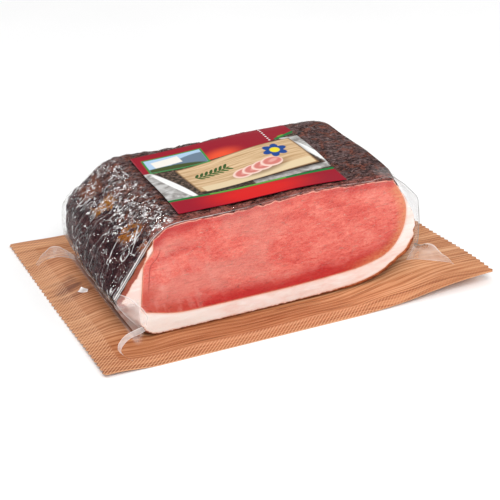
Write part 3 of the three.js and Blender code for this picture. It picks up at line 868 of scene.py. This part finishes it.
def make_sheet():
    rows = TOOTH_COUNT * 4
    y = np.linspace(-SHEET_DEPTH / 2, SHEET_DEPTH / 2, rows + 1)[:, None]
    tooth = np.abs(np.arange(rows + 1) % 4 - 2)[:, None] / 2
    half_length = SHEET_LENGTH / 2 - TOOTH_DEPTH * tooth
    x = half_length * np.linspace(-1, 1, 201)[None]
    y = np.broadcast_to(y, x.shape)
    attributes = {"grain": wood_grain(x, y), "seal": seal_share(x, y), "knot": knot_share(x, y)}
    grid = points_at(x, y, sheet_top(x, y))
    looks = [sheet_look(), sheet_edge_look()]
    piece = make_piece("base_sheet_fine", [(grid, 0, attributes)], looks, weld=False)
    thicken(piece, SHEET_THICKNESS, rim_slot=1)
    ready(piece, "base_sheet")


def stations(steps):
    """Places along the loin, closer together at the cut and at the rounded end."""
    t = even_shares(steps)
    return CUT_Y + (BACK_Y - CUT_Y) * (t - 0.12 * np.sin(2 * math.pi * t))


def loin_end(inner_line, ring, y, layers=40):
    """A flat end of the loin at y, in rows from the seam out to the ring of its skin."""
    inner = placed(inner_line, y)
    return inner + (ring - inner) * even_shares(layers)[:, None, None]


def loin_piece(name, outside, inner, cut_look, columns, rows):
    """A solid between the cut and the far end: outside is its line on the loin's skin, clockwise
    from the front, and inner is the seam, run the same way, whose ends are set on the outside's."""
    inner[0], inner[-1] = outside[0], outside[-1]
    shares = even_shares(columns)
    outer_line = along(outside, shares)
    inner_line = along(inner, shares)
    fade = np.minimum(1, np.minimum(shares, 1 - shares) * columns / 3)
    ys = stations(rows)
    skin = placed(outer_line[None], ys[:, None])
    inwards = placed(np.array(HEART, float)[None, None], ys[:, None]) - skin
    inwards /= np.linalg.norm(inwards, axis=-1, keepdims=True)
    depth = crust_depth(skin) * fade * ease(3, 6, outer_line[:, 1])
    skin = skin + inwards * depth[..., None]
    seam = placed(inner_line[None], stations(12)[:, None])
    cut = loin_end(inner_line, skin[0], ys[0])
    far_end = loin_end(inner_line, skin[-1], ys[-1])
    flat = cut[..., [0, 2]]
    measures = {
        "from_seam": distance_to(flat.reshape(-1, 2), flat[0]),
        "from_outside": distance_to(flat.reshape(-1, 2), flat[-1, ::2]),
    }
    grids = [(skin, 1, {}), (seam[::-1], 1, {}), (cut, 0, measures), (far_end[::-1], 1, {})]
    return make_piece(name, grids, [cut_look, CRUST], sharp=50)


def make_lean():
    outside = join(part_of(LEFT_LINE, SEAM_ENDS[1], 1), TOP_LINE, part_of(RIGHT_LINE, 0, SEAM_ENDS[0]))
    inner = SEAM_LINE[::-1] + GAP / 2 * sideways(SEAM_LINE[::-1])
    ready(loin_piece("lean_meat_fine", outside, inner, lean_look(), 320, 190), "lean_meat")


def make_fat():
    outside = join(part_of(RIGHT_LINE, SEAM_ENDS[0], 1), BOTTOM_LINE, part_of(LEFT_LINE, 0, SEAM_ENDS[1]))
    inner = SEAM_LINE + GAP / 2 * sideways(SEAM_LINE)
    ready(loin_piece("fat_layer_fine", outside, inner, fat_look(), 360, 150), "fat_layer")


def film_lines(top_steps, side_steps):
    """The film's section: up the left side, over the top and up the right side, clear of both, and
    the right side's fold at the cut, which stands off."""
    shares = even_shares(side_steps)
    left = along(rounded_line(FILM_LEFT), shares)
    top = along(TOP_LINE, even_shares(top_steps))
    right = along(RIGHT_LINE, shares)
    outwards = sideways(join(left, top, right))
    top_line = top + outwards[side_steps:side_steps + top_steps + 1] * FILM_CLEARANCE
    right_line = right + outwards[side_steps + top_steps:] * FILM_CLEARANCE
    fold_line = along(rounded_line(FRONT_RIGHT_FOLD), shares)
    return left, top_line, right_line[::-1], fold_line[::-1]


def places_round(top_steps, length_steps):
    """The places of a ring's points, as steps across and along, once round from the front left."""
    front = [(i, 0) for i in range(top_steps)]
    right = [(top_steps, j) for j in range(length_steps)]
    back = [(i, length_steps) for i in range(top_steps, 0, -1)]
    left = [(0, j) for j in range(length_steps, 0, -1)]
    return np.array(front + right + back + left + front[:1])


def film_walls(lines, across, high, y):
    """The film's sides in rings, from the foot up to the rim of its top, given the share of the way
    across, the place in the top's section and the place along the loin at each point of a ring."""
    left, tight, fold = lines
    s = across[:, None]
    folded = 1 - ease(CUT_Y, CUT_Y + FRONT_RIGHT_FOLD_LENGTH, y)[None, :, None]
    right = tight[:, None] + (fold - tight)[:, None] * folded
    low = left[0] + (right[0] - left[0]) * s
    up = np.linspace(0, 1, len(left))[:, None, None]
    sides = left[:, None] * (1 - s) + right * s + low * (1 - up) + high * up
    sides -= (left[0] * (1 - s) + right[0] * s) * (1 - up) + (left[-1] * (1 - s) + right[-1] * s) * up
    back_left = ease(0, 34, y) * (1 - across) ** 6
    bell = ease(9, 20, sides[..., 1]) * ease(42, 27, sides[..., 1])
    sides[..., 0] -= BACK_LEFT_STANDOFF * back_left * bell
    return placed(sides, y[None])


def film_flange(foot, across, lengthwise, steps=28):
    """The film that is sealed to the sheet, in rings from the sheet's rim in to the walls' foot."""
    outwards_y = np.where(lengthwise == 0, -1, 1) * np.isin(lengthwise, (0, 1))
    foot_x = np.clip(foot[:, 0], *FOOT_X)
    foot_y = foot[:, 1] + FOOT_STEP * outwards_y
    rim_x = (SHEET_LENGTH / 2 - TOOTH_DEPTH - FLANGE_INSET) * (2 * across - 1)
    rim_y = (SHEET_DEPTH / 2 - FLANGE_INSET) * (2 * lengthwise - 1)
    out = np.linspace(1, 0, steps + 1)[:, None]
    x = foot_x + (rim_x - foot_x) * out
    y = foot_y + (rim_y - foot_y) * out
    return points_at(x, y, sheet_top(x, y) + FLANGE_CLEARANCE)


def film_grids():
    """The film's outer face as two grids: its rings from the rim inwards and up, and its top."""
    top_steps, length_steps, side_steps, foot_steps = 150, 100, 48, 10
    left, top, tight, fold = film_lines(top_steps, side_steps)
    ys = stations(length_steps)
    ys[0] -= FILM_CLEARANCE
    ys[-1] += FILM_CLEARANCE
    places = places_round(top_steps, length_steps)
    across = places[:, 0] / top_steps
    lengthwise = places[:, 1] / length_steps
    walls = film_walls((left, tight, fold), across, top[places[:, 0]], ys[places[:, 1]])
    flange = film_flange(walls[0], across, lengthwise)
    rise = even_shares(foot_steps)[1:-1, None, None]
    foot = flange[-1] + (walls[0] - flange[-1]) * rise
    crown = placed(top[None], ys[:, None])
    return np.concatenate([flange, foot, walls]), crown


def ribbon(first, second, haze_and_highlight, across=8, sway=0.25, seed=0):
    """A strip of film between two lines of points, a little uneven, milky by its haze, with a painted
    highlight along its free edge and a fainter one along its base.
    """
    shares = even_shares(60)
    start, end = along(softened(first), shares), along(softened(second), shares)
    t = even_shares(across)[:, None, None]
    strip = start * (1 - t) + end * t
    strip = strip + sway * drift(strip, 3.2, seed) * np.minimum(1, 3 * t)
    # Painted highlights: white haze along the strip's free edge and, fainter, along its base.
    edges = ease(0.90, 1, t[..., 0]) + 0.5 * ease(0.08, 0, t[..., 0])
    hazes_and_highlights = haze_and_highlight * (1 + 0.5 * noise(strip, 2.5, seed + 5)) + 0.6 * edges
    return strip, 0, {"own_haze_and_highlight": hazes_and_highlights}


def on_sheet(points, lift=0.35):
    """Points (x, y) set on the base sheet."""
    x, y = np.array(points, float).T
    return points_at(x, y, sheet_top(x, y) + lift)


def foot_fin(run, height, seed):
    """A narrow fin of film that stands along the foot, painted nearly white as its highlight."""
    tip = np.array(run, float) - np.array([0.5, 0.2])
    return ribbon(on_sheet(run, height - 0.5), on_sheet(tip, height), 0.9, across=4, sway=0.25, seed=seed)


def front_left_folds():
    """The flap that stands off the cut's lower left corner, and the tail that lies on the sheet."""
    flap = ribbon(
        [(-77, -40.9, 21.5), (-75, -41, 17), (-71.5, -41.2, 12), (-68, -41.4, 8), (-66, -41.6, 5)],
        [
            (-76.6, -42.5, 25), (-73.8, -44.2, 25), (-70.5, -44.5, 22), (-66.5, -44.8, 17.5),
            (-64.3, -44.8, 13.5), (-64.2, -43.8, 9), (-66, -42.6, 6),
        ],
        0.22, across=16, seed=61,
    )
    tail = ribbon(
        [
            (-64.4, -41.4, 4.6), (-66.5, -41.6, 3.8), (-71.4, -40.6, 2.2), (-77.5, -46.3, 1.8),
            (-77.7, -51, 1.5), (-75.5, -56.3, 1.3),
        ],
        [
            (-65.6, -41.2, 6.6), (-68.4, -40.6, 5.6), (-73.2, -40.4, 4.2), (-79, -46.8, 3.8),
            (-79.3, -50.8, 3.1), (-76, -56.8, 2.2),
        ],
        0.4, across=8, sway=0.12, seed=64,
    )
    return [flap, tail]


def ears():
    """The ears of spare film at the front right corner and at the left of the far end."""
    right_ear = ribbon(
        on_sheet([(61.5, -35), (65, -36.5), (69, -39.2), (73, -42.2), (76, -45), (77.8, -48)]),
        [
            (61.5, -40.9, 16.5), (64.5, -40.9, 14.6), (68.5, -41, 15), (71.5, -41.6, 13),
            (74.5, -43.6, 9.6), (77, -46, 7.4), (77.9, -48.2, 5.4),
        ],
        0.36, across=20, sway=0.35, seed=67,
    )
    left_ear = ribbon(
        on_sheet([(-68.4, 31), (-71.6, 35.4), (-75.3, 38.2), (-79.6, 39.2), (-84.4, 35.8)]),
        [
            (-68.6, 31.6, 5), (-71.4, 35.4, 6), (-74.2, 38.6, 8), (-77, 39.6, 8), (-80.4, 39.4, 6.4),
            (-83.4, 37, 4.4), (-85, 35.4, 2.2),
        ],
        0.26, across=20, sway=0.6, seed=70,
    )
    return [right_ear, left_ear]


def left_foot_folds():
    """The fins along the left side's foot, and a small patch of film on the sheet beside them, painted
    white as a highlight.
    """
    long_run = [
        (-66.8, 18), (-67.7, 7), (-68.4, -6), (-67.8, -14), (-66.6, -22), (-65.4, -28.7), (-64.6, -34),
    ]
    back_run = [(-68.6, 8), (-69.4, -2), (-70, -9), (-68.8, -16)]
    front_run = [(-67.6, -11), (-67.4, -18.4), (-67, -25), (-65.4, -32)]
    fins = [foot_fin(long_run, 0.8, 75), foot_fin(back_run, 1.1, 76), foot_fin(front_run, 1.5, 77)]
    near_edge = on_sheet([(-77.3, 4), (-75.9, 1.8), (-73.9, 1.2)])
    far_edge = on_sheet([(-74.9, 6), (-74.3, 3.6), (-73.1, 2)], 1)
    return [ribbon(near_edge, far_edge, 0.9, across=6, sway=0.2, seed=79), *fins]


def crease(line, outwards, forwards, hazes_and_highlights, seed):
    """A narrow fin of film along a line of the cut's rim, brightest at its tip, which lies outwards
    and forwards of the line; the brightness is partly the film's whitening at the crease and partly a
    painted highlight. Its haze and painted highlight are given as numbers for each point of the line."""
    base = placed(line, CUT_Y - FILM_CLEARANCE)
    tip = base.copy()
    tip[:, [0, 2]] += sideways(line) * outwards
    tip[:, 1] -= forwards
    t = even_shares(8)[:, None, None]
    strip = base * (1 - t) + tip * t
    strip[..., 1] += 0.15 * t[..., 0] * noise(strip, 2.5, seed)
    own = 0.1 + hazes_and_highlights * ease(0.3, 0.5, t[..., 0])
    return strip, 0, {"own_haze_and_highlight": np.clip(own, 0.01, 1)}


def rim_creases():
    """The fins of film along the cut's left and top rim, painted bright as highlights, and along the right
    side's fold, whose crease is painted grey as shade.
    """
    left, top, _, fold = film_lines(120, 60)
    line = join(left[left[:, 1] > LEFT_SIDE[1][1] + 2], top)
    share = np.linspace(0, 1, len(line))
    late = ease(0.36, 0.5, share)
    broken = np.clip(0.45 + 1.2 * noise(placed(line, CUT_Y), 3, 82), 0, 1)
    rim = crease(line, 0.2, 0.85, 0.95 * (1 - late) + 0.5 * late * broken, 81)
    low = line[share < 0.22]
    second = crease(low, 1.2, 0.5, 0.75 * ease(1, 0.5, np.linspace(0, 1, len(low))), 84)
    side = fold[::-1][fold[::-1][:, 1] > 13]
    edge = crease(side, 0.45, 0.3, np.full(len(side), 0.8), 83)
    return [rim, second, edge]


def film_measures(points, own):
    """How far the film is moved out or in at each point, and the shares that its material reads:
    own is the haze and painted highlight of the loose ribbons, fins and creases, which is 0 on the film
    that is drawn tight."""
    x, y, z = points.T
    loose = own > 0
    on_skin = ease(-39.6, -38, y) * ease(7, 11, z) * ~loose
    on_left = ease(-42, -54, x) * ease(9, 15, z) * on_skin
    shoulder = ease(-47, -53, x) * ease(37, 42, z) * on_skin
    ridges = np.clip(1 - np.abs(noise(points + 3 * drift(points, 9, 41), (9, 3.6, 14), 44)) * 4, 0, 1)
    lift = 0.3 * ridges * on_left * ease(48, 42, z) + 0.15 * noise(points, 2.6, 45) * shoulder
    dip = crust_depth(points) * 0.75 * on_skin

    back_left = ease(0, 26, y) * ease(-62, -70, x) * ~loose
    back_left *= ease(10, 16, z) * ease(42, 30, z)
    outline_x = np.interp(z, *RIGHT_LINE[::-1, ::-1].T)
    beside_cut = ease(CUT_Y + FRONT_RIGHT_FOLD_LENGTH, CUT_Y + 6, y) * ease(8, 14, z)
    right_fold = ease(-0.2, 1, x - outline_x) * ease(44, 48, x) * beside_cut * ~loose
    right_crease = loose * ease(40, 44, x) * (y < CUT_Y) * (y > CUT_Y - 0.9) * (z > 13)
    on_wall = np.maximum(ease(3.4, 5, z), ease(-70.5, -68.5, x)) * ease(0.9, 2.5, z)
    below_flank = on_wall * ease(20, 15, z) * ease(-65, -67, x) * ~loose
    streaked = 0.5 + 0.5 * noise(points, (3, 2.2, 9), 46)
    return lift - dip, {
        "haze_and_highlight": own + 0.16 * back_left * streaked + 0.16 * right_fold,
        # Painted brown reflection of the wood, on the film below the left flank
        "painted_wood_reflection": below_flank * (0.8 + 0.3 * noise(points, (5, 5, 2.2), 47)),
        "wrinkled": on_left * ease(50, 44, z),
        # Painted grey shade along the right side's fold and the crease fin on it
        "painted_fold_shade": 0.5 * right_fold + right_crease,
        "sparkle": (0.2 + 0.25 * on_left + 0.8 * shoulder) * on_skin + 0.1 * loose,
        "gloss": 0.1 + 0.9 * ease(2, 6, z) * ~loose + 0.9 * loose,
        "seal": seal_share(x, y) * (z < 9) * ~loose,
    }


def make_film():
    tight = [(grid, 0, {"own_haze_and_highlight": np.zeros(grid.shape[:2])}) for grid in film_grids()]
    loose = [*front_left_folds(), *ears(), *left_foot_folds(), *rim_creases()]
    piece = make_piece("clear_film_fine", tight + loose, [film_look()], sharp=60)
    piece.visible_shadow = False
    mesh = piece.data
    points, normals = read_mesh(mesh)
    own = np.empty(len(points))
    mesh.attributes["own_haze_and_highlight"].data.foreach_get("value", own)
    lift, shares = film_measures(points, own)
    mesh.vertices.foreach_set("co", ((points + normals * lift[:, None]) * MM).ravel())
    for key, value in shares.items():
        add_attribute(mesh, key, np.clip(value, 0, 1))
    ready(piece, "clear_film")


def label_height(x, y):
    """The film's outer face over a point of the loin's top."""
    top = TOP_LINE + np.array([0, FILM_CLEARANCE])
    ys = np.linspace(y.min(), y.max(), 80)
    xs = np.linspace(x.min(), x.max(), 160)
    table = np.array([np.interp(xs, *placed(top, place)[:, [0, 2]].T) for place in ys])
    across = (x - xs[0]) / (xs[1] - xs[0])
    lengthwise = (y - ys[0]) / (ys[1] - ys[0])
    i = np.clip(across.astype(int), 0, len(xs) - 2)
    j = np.clip(lengthwise.astype(int), 0, len(ys) - 2)
    a, b = across - i, lengthwise - j
    low = table[j, i] * (1 - a) + table[j, i + 1] * a
    high = table[j + 1, i] * (1 - a) + table[j + 1, i + 1] * a
    return low * (1 - b) + high * b


def make_label():
    u, v = np.meshgrid(even_shares(154), even_shares(122))
    s, t = u[..., None], v[..., None]
    front_left, front_right, back_right, back_left = np.array(LABEL_CORNERS)
    front = front_left * (1 - s) + front_right * s
    back = back_left * (1 - s) + back_right * s
    x, y = np.moveaxis(front * (1 - t) + back * t, -1, 0)
    waves = 0.04 * (1 + noise(points_at(x, y), (11, 11, 1), 91))
    grid = points_at(x, y, label_height(x, y) + LABEL_CLEARANCE + LABEL_THICKNESS + waves)
    attributes = {"print": points_at(u * LABEL_SIZE[0], v * LABEL_SIZE[1]) * MM}
    piece = make_piece("label_fine", [(grid, 0, attributes)], [label_look()], weld=False)
    thicken(piece, LABEL_THICKNESS)
    ready(piece, "label")


# Studio

def make_floor():
    x, y = np.meshgrid(*[np.linspace(-FLOOR_REACH, FLOOR_REACH, 9)] * 2)
    floor = make_piece("floor", [(points_at(x, y, -FLOOR_DROP), 0, {})], [floor_look()], weld=False)


def add_light(name, direction, distance, size, energy, gloss_only=False):
    """A square soft light in that direction from the pack, aimed at it."""
    light = bpy.data.lights.new(name, "AREA")
    light.size = size
    light.energy = energy
    lamp = show(name, light)
    aim = Vector(direction).normalized()
    lamp.location = aim * distance
    lamp.rotation_euler = aim.to_track_quat("Z", "Y").to_euler()
    lamp.visible_diffuse = not gloss_only


def make_lights():
    add_light("key_light", (-0.30, -0.75, 0.85), 1.95, 1.05, 26)
    add_light("fill_light", (0.75, -0.55, 0.75), 2.25, 1.5, 15)
    add_light("top_light", (-0.25, 0.10, 1.0), 2.25, 1.8, 12)
    add_light("back_gloss", (-0.22, 0.80, 0.58), 1.2, 0.18, 4.5, gloss_only=True)
    add_light("left_gloss", (-0.85, 0.40, 0.38), 1.2, 0.15, 2.2, gloss_only=True)
    world = bpy.data.worlds.new("studio")
    world.use_nodes = True
    background = world.node_tree.nodes["Background"].inputs
    background["Color"].default_value = (1, 1, 1, 1)
    background["Strength"].default_value = 0.38
    bpy.context.scene.world = world
    bpy.context.scene.view_settings.view_transform = "Standard"


def make_camera():
    azimuth = math.radians(CAMERA_AZIMUTH)
    elevation = math.radians(CAMERA_ELEVATION)
    level = Vector((math.sin(azimuth), -math.cos(azimuth), 0)) * math.cos(elevation)
    back = level + Vector((0, 0, math.sin(elevation)))
    right = Vector((math.cos(azimuth), math.sin(azimuth), 0))
    up = back.cross(right)
    lens = bpy.data.cameras.new("camera")
    lens.lens = CAMERA_LENS
    lens.sensor_width = CAMERA_SENSOR
    lens.clip_start = 0.01
    camera = show("camera", lens)
    turn = Matrix((right, up, back)).transposed().to_4x4()
    place = back * CAMERA_DISTANCE + right * CAMERA_RIGHT + up * CAMERA_UP
    camera.matrix_world = Matrix.Translation(place) @ turn
    bpy.context.scene.camera = camera


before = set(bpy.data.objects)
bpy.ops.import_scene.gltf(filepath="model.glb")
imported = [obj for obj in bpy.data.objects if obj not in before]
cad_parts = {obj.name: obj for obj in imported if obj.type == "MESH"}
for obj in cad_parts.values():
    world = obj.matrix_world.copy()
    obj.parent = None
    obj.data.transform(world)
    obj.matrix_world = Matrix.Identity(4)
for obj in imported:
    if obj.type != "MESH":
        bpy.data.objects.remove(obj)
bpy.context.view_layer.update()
CRUST = crust_look()
make_sheet()
make_lean()
make_fat()
make_film()
make_label()
make_floor()
make_lights()
make_camera()
